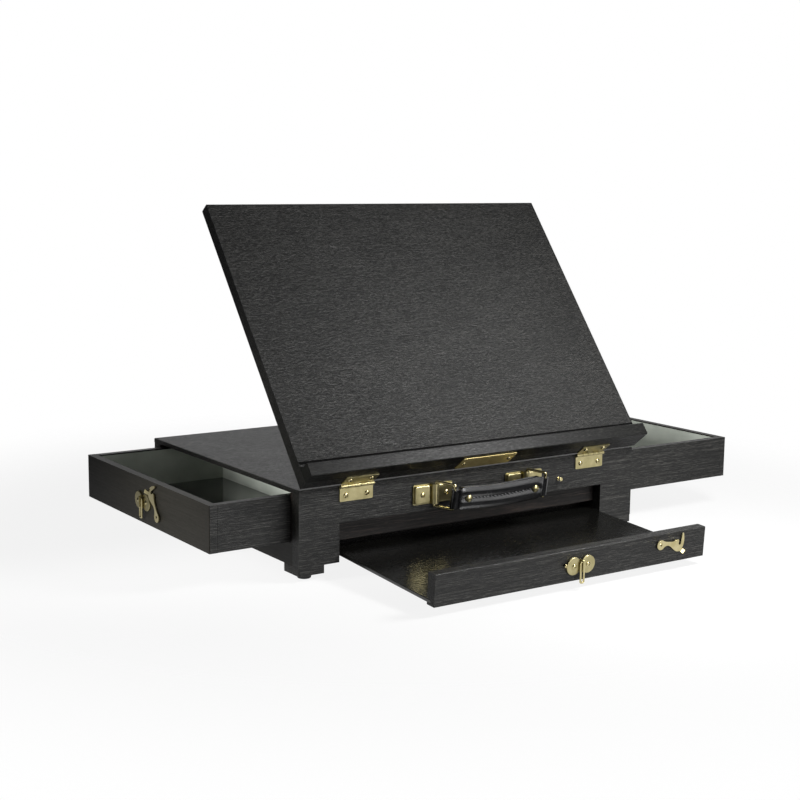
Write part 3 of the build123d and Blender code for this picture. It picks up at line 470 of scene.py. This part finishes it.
def fastenerTree(name, recessed):  # a domed head, with a cross cut into a screw's, on a plain shank
    tree, given = newTree(name, ("Head Height", "Slot Length", "Slot Width", "Slot Depth", "Shank Radius"))
    ball = addNode(tree, "GeometryNodeMeshUVSphere", Segments=32, Rings=16, Radius=1.0)
    flatten = addNode(tree, "ShaderNodeCombineXYZ", {"Z": given["Head Height"]}, X=1.0, Y=1.0)
    dome = addNode(tree, "GeometryNodeTransform", {"Geometry": ball.outputs["Mesh"],
                                                   "Scale": flatten.outputs["Vector"]})
    below = addNode(tree, "GeometryNodeMeshCube", Size=(3.0, 3.0, 2.0))    # cuts the ball's lower half away
    cutters = [addNode(tree, "GeometryNodeTransform", {"Geometry": below.outputs["Mesh"]},
                       Translation=(0, 0, -1.0))]
    if recessed:
        lift = addNode(tree, "ShaderNodeCombineXYZ", {"Z": given["Head Height"]})
        for longSide, shortSide in (("X", "Y"), ("Y", "X")):
            size = addNode(tree, "ShaderNodeCombineXYZ", {
                longSide: given["Slot Length"], shortSide: given["Slot Width"], "Z": given["Slot Depth"]})
            box = addNode(tree, "GeometryNodeMeshCube", {"Size": size.outputs["Vector"]})
            cutters.append(addNode(tree, "GeometryNodeTransform", {"Geometry": box.outputs["Mesh"],
                                                                   "Translation": lift.outputs["Vector"]}))
    cut = addNode(tree, "GeometryNodeMeshBoolean", {"Mesh 1": dome.outputs["Geometry"]},
                  operation="DIFFERENCE")
    for cutter in cutters:
        tree.links.new(cutter.outputs["Geometry"], cut.inputs["Mesh 2"])
    shank = addNode(tree, "GeometryNodeMeshCylinder", {"Radius": given["Shank Radius"]},
                    Vertices=16, Depth=1.0)
    sunk = addNode(tree, "GeometryNodeTransform", {"Geometry": shank.outputs["Mesh"]},
                   Translation=(0, 0, -0.5))
    whole = addNode(tree, "GeometryNodeJoinGeometry")
    tree.links.new(cut.outputs["Mesh"], whole.inputs["Geometry"])
    tree.links.new(sunk.outputs["Geometry"], whole.inputs["Geometry"])
    facing = addNode(tree, "GeometryNodeInputNamedAttribute", data_type="FLOAT_VECTOR", Name="facing")
    size = addNode(tree, "GeometryNodeInputNamedAttribute", data_type="FLOAT", Name="size")
    chance = addNode(tree, "FunctionNodeRandomValue", {"Seed": given["Seed"]}, data_type="FLOAT")
    chance.inputs[3].default_value = pi / 2    # past a quarter turn, a cross looks the same again
    spin = addNode(tree, "ShaderNodeCombineXYZ", {"Z": chance.outputs[1]})
    placed = addNode(tree, "GeometryNodeInstanceOnPoints", {
        "Points": given["Geometry"], "Instance": whole.outputs["Geometry"],
        "Rotation": facing.outputs["Attribute"], "Scale": size.outputs["Attribute"]})
    turned = addNode(tree, "GeometryNodeRotateInstances", {"Instances": placed.outputs["Instances"],
                                                           "Rotation": spin.outputs["Vector"]})
    return endTree(tree, given, turned.outputs["Instances"])


def grown(piece, tree, **values):  # runs a geometry tree on the piece and keeps its plain mesh
    modifier = piece.modifiers.new(tree.name, "NODES")
    modifier.node_group = tree
    for item in tree.interface.items_tree:
        if item.in_out == "INPUT" and item.name in values:
            modifier[item.identifier] = values[item.name]
    piece.update_tag()
    return baked(piece)


def pointsPiece(name, seats):  # one point for each seat, with the turn and size that its copy takes
    bm = bmesh.new()
    for seat in seats:
        bm.verts.new(seat[0])
    piece = addMesh(name, bm)
    for label, kind in (("facing", "FLOAT_VECTOR"), ("size", "FLOAT")):
        piece.data.attributes.new(label, kind, "POINT")
    attributes = piece.data.attributes
    for i, (place, turn, radius) in enumerate(seats):
        attributes["facing"].data[i].vector = turn
        attributes["size"].data[i].value = radius
    return piece


def seatsOf(nodeName):  # where each fastener of the node sits
    bm = merged(nodeName)
    found = [headSeat(points) for points in islands(bm)]
    bm.free()
    return found


def turnTo(out):
    return out.to_track_quat("Z", "Y").to_euler()


screwTree = fastenerTree("domedScrews", True)
for nodeName in screwNodes:
    seats = [(place, turnTo(out), radius) for place, out, radius in seatsOf(nodeName)]
    piece = grown(pointsPiece(nodeName + "Domed", seats), screwTree,
                  **fastenerSettings["screw"], Material=brass)
    shade(piece, 40)
    finish(piece, bodyOf[nodeName], "brass", nodeName)
print("screws set")

# The grip is a strap of hide folded back round both rings' bars, riveted and saddle-stitched to itself.
gripSettings = {
    "start": -49.94,    # mm, at the left ring's bar
    "length": 126.0,
    "middle": (-195.03, 61.9),    # y and z before the rings' lean
    "height": 21.4,
    "thickness": 6.6,
    "eyeRadius": 3.7,
    "boreRadius": 1.8,
    "waist": 2.3,    # half the thickness where the fold is pinched shut
    "pinchLength": 0.9,
    "pinches": (1.0, 0.35),    # how hard the left and the right fold are pinched
    "edgeRound": 1.7,
    "edgeSegments": 4,
    "edgeAbove": 50,    # degrees between faces, where an edge is skived round
    "foldLength": 4.5,    # where the fold ends and the filling begins
    "shoulder": 7.0,
    "swell": 2.3,    # how much taller the filling makes each half between the folds
    "rivetStand": 0.8,    # their edge over the groove
    "lip": 1.8,    # how far the filling stands out above and below the stitched groove
    "sag": 2.3,
    "rivets": (18.0, 111.0),    # along from the start
    "rivetRadius": 4.3,
    "stitchPitch": 4.9,
    "stitchLength": 3.6,
    "stitchThickness": 1.9,
    "stitchShortest": 0.88,    # a share of the full size
    "stitchFromRivet": 7.0,
    "stitchSlant": 13.0,
    "stitchStand": 0.35,    # how far out of the groove they are pulled
    "lean": 9.0,    # degrees, about the rings' pivots
    "pivot": (-177.7, 63.5),
    "endRows": (9.0, 13),    # rows of points, close in the first and last 9 mm
    "middleRows": (11.0, 53),
    "levels": (0, 0.1, 0.22, 0.35, 0.5, 0.65, 0.78, 0.9, 1),    # shares of half the height
    "seed": 11,
}


def leaned(piece):  # from the drawing place to where the rings hold it
    g = gripSettings
    pivot = Vector((0, g["pivot"][0], g["pivot"][1])) * mm
    turn = Matrix.Rotation(radians(g["lean"]), 4, "X")
    piece.data.transform(Matrix.Translation(pivot) @ turn @ Matrix.Translation(-pivot))
    return piece


def gripHalf(along):  # half its thickness at a place along the strap
    g = gripSettings
    end = min(along, g["length"] - along)
    if end <= 0:
        return sqrt(max(g["eyeRadius"] ** 2 - end ** 2, 0))
    pinch = g["pinches"][int(along >= g["length"] / 2)]
    near = exp(-((end - g["foldLength"]) / g["pinchLength"]) ** 2)
    neck = g["thickness"] / 2 - pinch * (g["thickness"] / 2 - g["waist"]) * near
    if end < g["eyeRadius"]:
        return max(sqrt(g["eyeRadius"] ** 2 - end ** 2), neck)
    return neck


def gripPoint(along, level, side):  # level runs from -1 to 1 up its height, side is -1 in front
    g = gripSettings
    share = min(max(along / g["length"], 0), 1)
    filled = min(max(min(along, g["length"] - along) - g["foldLength"], 0) / g["shoulder"], 1)
    filled = filled * filled * (3 - 2 * filled)
    z = level * (g["height"] / 2 + filled * g["swell"])
    y = gripHalf(along) + filled * g["lip"] * (sin(pi * abs(level)) - 0.5)
    z -= g["sag"] * sin(pi * share) ** 2
    return Vector((g["start"] + along, g["middle"][0] + side * y, g["middle"][1] + z)) * mm


def leatherGrip():  # two sheets joined all round, bored through both eyes for the rings' bars
    g = gripSettings
    turns = [-g["eyeRadius"] * cos(radians(a)) for a in range(0, 90, 9)]    # round the eye
    (end, endCount), (middle, middleCount) = g["endRows"], g["middleRows"]
    inside = [*np.linspace(0, end, endCount), *np.linspace(middle, g["length"] - middle, middleCount),
              *np.linspace(g["length"] - end, g["length"], endCount)]
    stations = turns + inside + [g["length"] - t for t in reversed(turns)]
    levels = [-level for level in reversed(g["levels"][1:])] + list(g["levels"])
    bm = bmesh.new()
    sheets = {}
    for side in (-1, 1):
        sheets[side] = [[bm.verts.new(gripPoint(s, level, side)) for level in levels] for s in stations]
    for side, rows in sheets.items():
        for near, far in zip(rows, rows[1:]):
            for i in range(len(levels) - 1):
                bm.faces.new((near[i], far[i], far[i + 1], near[i + 1]))
    for i in (0, len(levels) - 1):
        front, back = ([row[i] for row in sheets[side]] for side in (-1, 1))
        for j in range(len(stations) - 1):
            bm.faces.new((front[j], back[j], back[j + 1], front[j + 1]))
    bmesh.ops.remove_doubles(bm, verts=bm.verts, dist=0.01 * mm)
    bmesh.ops.recalc_face_normals(bm, faces=bm.faces)
    piece = addMesh("leatherGrip", bm, leather)
    bevel = piece.modifiers.new("skivedEdge", "BEVEL")
    bevel.width = g["edgeRound"] * mm
    bevel.segments = g["edgeSegments"]
    bevel.limit_method = "ANGLE"
    bevel.angle_limit = radians(g["edgeAbove"])
    baked(piece)
    bm = bmesh.new()
    for along in (0, g["length"]):
        place = Vector((g["start"] + along, g["middle"][0], g["middle"][1])) * mm
        bmesh.ops.create_cone(bm, cap_ends=True, segments=32, radius1=g["boreRadius"] * mm,
                              radius2=g["boreRadius"] * mm, depth=2 * g["height"] * mm,
                              matrix=Matrix.Translation(place))
    tool = addMesh("gripBore", bm)
    bore = piece.modifiers.new("bore", "BOOLEAN")
    bore.operation = "DIFFERENCE"
    bore.object = tool
    baked(piece)
    bpy.data.objects.remove(tool)
    shade(piece, 40)
    return leaned(piece)


finish(leatherGrip(), "handle_grip", "leather", "handle_grip")


def stitchTree():  # waxed thread, one rounded length for each stitch
    tree, given = newTree("saddleStitches", ("Length", "Thickness", "Slant"))
    ball = addNode(tree, "GeometryNodeMeshUVSphere", Segments=10, Rings=8, Radius=0.5)
    size = addNode(tree, "ShaderNodeCombineXYZ", {"X": given["Length"], "Y": given["Thickness"],
                                                  "Z": given["Thickness"]})
    tilt = addNode(tree, "ShaderNodeCombineXYZ", {"Y": given["Slant"]})
    facing = addNode(tree, "GeometryNodeInputNamedAttribute", data_type="FLOAT_VECTOR", Name="facing")
    chance = addNode(tree, "FunctionNodeRandomValue", {"Seed": given["Seed"]}, data_type="FLOAT")
    chance.inputs[2].default_value = gripSettings["stitchShortest"]
    chance.inputs[3].default_value = 1.0
    placed = addNode(tree, "GeometryNodeInstanceOnPoints", {
        "Points": given["Geometry"], "Instance": ball.outputs["Mesh"],
        "Rotation": facing.outputs["Attribute"]})
    turned = addNode(tree, "GeometryNodeRotateInstances", {"Instances": placed.outputs["Instances"],
                                                           "Rotation": tilt.outputs["Vector"]})
    scaled = addNode(tree, "ShaderNodeVectorMath", {0: size.outputs["Vector"], "Scale": chance.outputs[1]},
                     operation="SCALE")
    grownOut = addNode(tree, "GeometryNodeScaleInstances", {"Instances": turned.outputs["Instances"],
                                                            "Scale": scaled.outputs["Vector"]})
    return endTree(tree, given, grownOut.outputs["Instances"])


def gripStitches():  # a row in each groove, from rivet to rivet
    g = gripSettings
    first, last = g["rivets"][0] + g["stitchFromRivet"], g["rivets"][1] - g["stitchFromRivet"]
    count = int((last - first) / g["stitchPitch"])
    seats = []
    for side in (-1, 1):
        for i in range(count + 1):
            along = first + (last - first) * i / count
            ahead = gripPoint(along + 0.5, 0, side) - gripPoint(along - 0.5, 0, side)
            seats.append((gripPoint(along, 0, side) + Vector((0, side * g["stitchStand"] * mm, 0)),
                          (0, -atan2(ahead.z, ahead.x), 0), 1))
    values = {"Length": g["stitchLength"] * mm, "Thickness": g["stitchThickness"] * mm,
              "Slant": radians(g["stitchSlant"]), "Seed": g["seed"], "Material": thread}
    return leaned(shade(grown(pointsPiece("gripStitches", seats), stitchTree(), **values), 60))


finish(gripStitches(), "handle_grip", "leather")


def gripRivets():  # a head on each side at both ends
    g = gripSettings
    seats = []
    for along in g["rivets"]:
        for side in (-1, 1):
            foot = gripPoint(along, 0, side) + Vector((0, side * g["rivetStand"] * mm, 0))
            seats.append((foot, turnTo(Vector((0, side, 0))), g["rivetRadius"] * mm))
    piece = grown(pointsPiece("gripRivets", seats), fastenerTree("domedRivets", False),
                  **fastenerSettings["rivet"], Material=satinShadedBrass)
    return leaned(shade(piece, 40))


finish(gripRivets(), "handle_grip", "brass", "grip_rivets")
print("grip made")


def addLamp(name, place, target, size, power, spread):
    data = bpy.data.lights.new(name, "AREA")
    data.shape = "RECTANGLE"
    data.size, data.size_y = size
    data.energy = power
    data.spread = radians(spread)
    lamp = bpy.data.objects.new(name, data)
    lamp.location = place
    lamp.rotation_euler = (Vector(target) - Vector(place)).to_track_quat("-Z", "Y").to_euler()
    scene.collection.objects.link(lamp)
    return lamp


stageSettings = {    # metres, watts and degrees
    "floorHalf": 2.5,
    "floorGap": 0.0005,    # under the feet
    "floorGrey": "#9c9c9c",    # what it throws back at the object
    "floorWhite": "#fafafa",
    "floorGlow": 0.86,    # share of plain white in what the camera sees, so that the shadow stays soft
    "floorFade": (0.42, 0.85),    # from the middle, where it melts into the backdrop
    "poolEdge": 0.3,    # before and behind the middle, over which the mirrored pool of light dims
    "poolDim": 0.5,
    "shade": 0.06,    # the room's level between its bright lobes
    "lobe": (0.6, 0.97),    # cosines of a lobe's edge and of its full strength
    "front": ((0.36, -0.93, 0.0), 0.80),    # where the room is bright, and how bright
    "back": ((0.62, 0.74, 0.26), 0.8),
    "key": {"place": (0.22, -0.47, 0.42), "target": (0.0, -0.16, 0.13), "size": (0.22, 0.16), "power": 3.8,
            "spread": 180},
    "low": {"place": (0.55, -1.95, 0.3), "target": (0.0, -0.1, 0.1), "size": (1.0, 0.7), "power": 11,
            "spread": 180},
    "left": {"place": (-0.95, -0.02, 0.24), "target": (-0.15, -0.09, 0.05), "size": (0.15, 0.15),
             "power": 0.38, "spread": 34},    # fills the drawers
}


def paleFloor():  # the camera sees it nearly white, and it still takes the object's shadow
    s = stageSettings
    material = bpy.data.materials.new("paleStudioFloor")
    material.use_nodes = True
    tree = material.node_tree
    tree.nodes.clear()
    rays = addNode(tree, "ShaderNodeLightPath")
    seen = addNode(tree, "ShaderNodeMath", {0: rays.outputs["Is Camera Ray"],
                                            1: rays.outputs["Is Glossy Ray"]}, operation="MAXIMUM")
    tone = addNode(tree, "ShaderNodeMix", {0: rays.outputs["Is Camera Ray"]}, data_type="RGBA")
    tone.inputs[6].default_value = toLinear(s["floorGrey"])
    tone.inputs[7].default_value = toLinear(s["floorWhite"])
    matt = addNode(tree, "ShaderNodeBsdfDiffuse", {"Color": tone.outputs[2]})
    glow = addNode(tree, "ShaderNodeEmission", Strength=1.0)
    clear = addNode(tree, "ShaderNodeBsdfTransparent")
    place = addNode(tree, "ShaderNodeTexCoord")
    lean = addNode(tree, "ShaderNodeVectorMath", {0: place.outputs["Object"]}, operation="DOT_PRODUCT")
    lean.inputs[1].default_value = Vector(s["front"][0])
    pool = addNode(tree, "ShaderNodeMapRange", {"Value": lean.outputs["Value"]},
                   From_Min=-s["poolEdge"], From_Max=s["poolEdge"], To_Min=s["poolDim"])
    lit = addNode(tree, "ShaderNodeMath", {0: rays.outputs["Is Camera Ray"], 1: pool.outputs[0]},
                  operation="MAXIMUM")    # a mirror sees the pool of light in front, the lens an even white
    share = addNode(tree, "ShaderNodeMath", {0: lit.outputs[0]}, operation="MULTIPLY")
    share.inputs[1].default_value = s["floorGlow"]
    share = addNode(tree, "ShaderNodeMath", {0: share.outputs[0], 1: seen.outputs[0]}, operation="MULTIPLY")
    mixed = addNode(tree, "ShaderNodeMixShader", {0: share.outputs[0], 1: matt.outputs[0],
                                                  2: glow.outputs[0]})
    far = addNode(tree, "ShaderNodeVectorMath", {0: place.outputs["Object"]}, operation="LENGTH")
    fade = addNode(tree, "ShaderNodeMapRange", {"Value": far.outputs["Value"]},
                   interpolation_type="SMOOTHSTEP", From_Min=s["floorFade"][0], From_Max=s["floorFade"][1])
    edge = addNode(tree, "ShaderNodeMixShader", {0: fade.outputs[0], 1: mixed.outputs[0],
                                                 2: clear.outputs[0]})
    addNode(tree, "ShaderNodeOutputMaterial", {"Surface": edge.outputs[0]})
    bm = bmesh.new()
    bmesh.ops.create_grid(bm, x_segments=1, y_segments=1, size=s["floorHalf"])
    bmesh.ops.translate(bm, verts=bm.verts, vec=(0, 0, cadBox[0][2] - s["floorGap"]))
    return addMesh("studioFloor", bm, material)


paleFloor()


def paleWorld():  # white to the camera; to the object, bright in front on its right and behind it
    s = stageSettings
    world = bpy.data.worlds.new("paleStudio")
    scene.world = world
    world.use_nodes = True
    tree = world.node_tree
    backdrop = tree.nodes["Background"]
    backdrop.inputs["Color"].default_value = (1, 1, 1, 1)
    way = addNode(tree, "ShaderNodeTexCoord")
    levels = []
    for key in ("front", "back"):
        toward, strength = s[key]
        lean = addNode(tree, "ShaderNodeVectorMath", {0: way.outputs["Generated"]}, operation="DOT_PRODUCT")
        lean.inputs[1].default_value = Vector(toward).normalized()
        levels.append(addNode(tree, "ShaderNodeMapRange", {"Value": lean.outputs["Value"]},
                              interpolation_type="SMOOTHSTEP", From_Min=s["lobe"][0],
                              From_Max=s["lobe"][1], To_Max=strength))
    both = addNode(tree, "ShaderNodeMath", {0: levels[0].outputs[0], 1: levels[1].outputs[0]},
                   operation="ADD")
    level = addNode(tree, "ShaderNodeMath", {0: both.outputs[0]}, operation="ADD")
    level.inputs[1].default_value = s["shade"]
    rays = addNode(tree, "ShaderNodeLightPath")
    seen = addNode(tree, "ShaderNodeMath", {0: rays.outputs["Is Camera Ray"],
                                            1: rays.outputs["Is Transmission Ray"]}, operation="MAXIMUM")
    strength = addNode(tree, "ShaderNodeMix", {0: seen.outputs[0], 2: level.outputs[0]}, data_type="FLOAT")
    strength.inputs[3].default_value = 1.0
    tree.links.new(strength.outputs[0], backdrop.inputs["Strength"])


paleWorld()
for key in ("key", "low", "left"):
    lamp = stageSettings[key]
    softbox = addLamp(key + "Softbox", **lamp)
    softbox.visible_camera = False
    softbox.visible_glossy = key != "left"    # that one leaves no sheen on the wood

cameraView = {
    "place": (-967.2, -1430.6, 409.2),    # mm
    "yaw": 34.382,    # degrees, from straight back towards the right
    "pitch": 8.967,    # downwards
    "roll": 0.594,
    "lens": 65.78,    # mm on a sensor 36 mm wide
    "sensor": 36,
}


def addCamera():
    c = cameraView
    yaw, pitch, roll = (radians(c[key]) for key in ("yaw", "pitch", "roll"))
    ahead = Vector((sin(yaw) * cos(pitch), cos(yaw) * cos(pitch), -sin(pitch)))
    right = Vector((cos(yaw), -sin(yaw), 0))
    up = right.cross(ahead)
    turnedRight = right * cos(roll) + up * sin(roll)
    turnedUp = up * cos(roll) - right * sin(roll)
    data = bpy.data.cameras.new("camera")
    data.lens = c["lens"]
    data.sensor_width = c["sensor"]
    camera = bpy.data.objects.new("camera", data)
    axes = Matrix((turnedRight, turnedUp, -ahead)).transposed().to_4x4()
    camera.matrix_world = Matrix.Translation(Vector(c["place"]) * mm) @ axes
    scene.collection.objects.link(camera)
    scene.camera = camera


addCamera()
scene.view_settings.view_transform = "Standard"
print("stage ready")
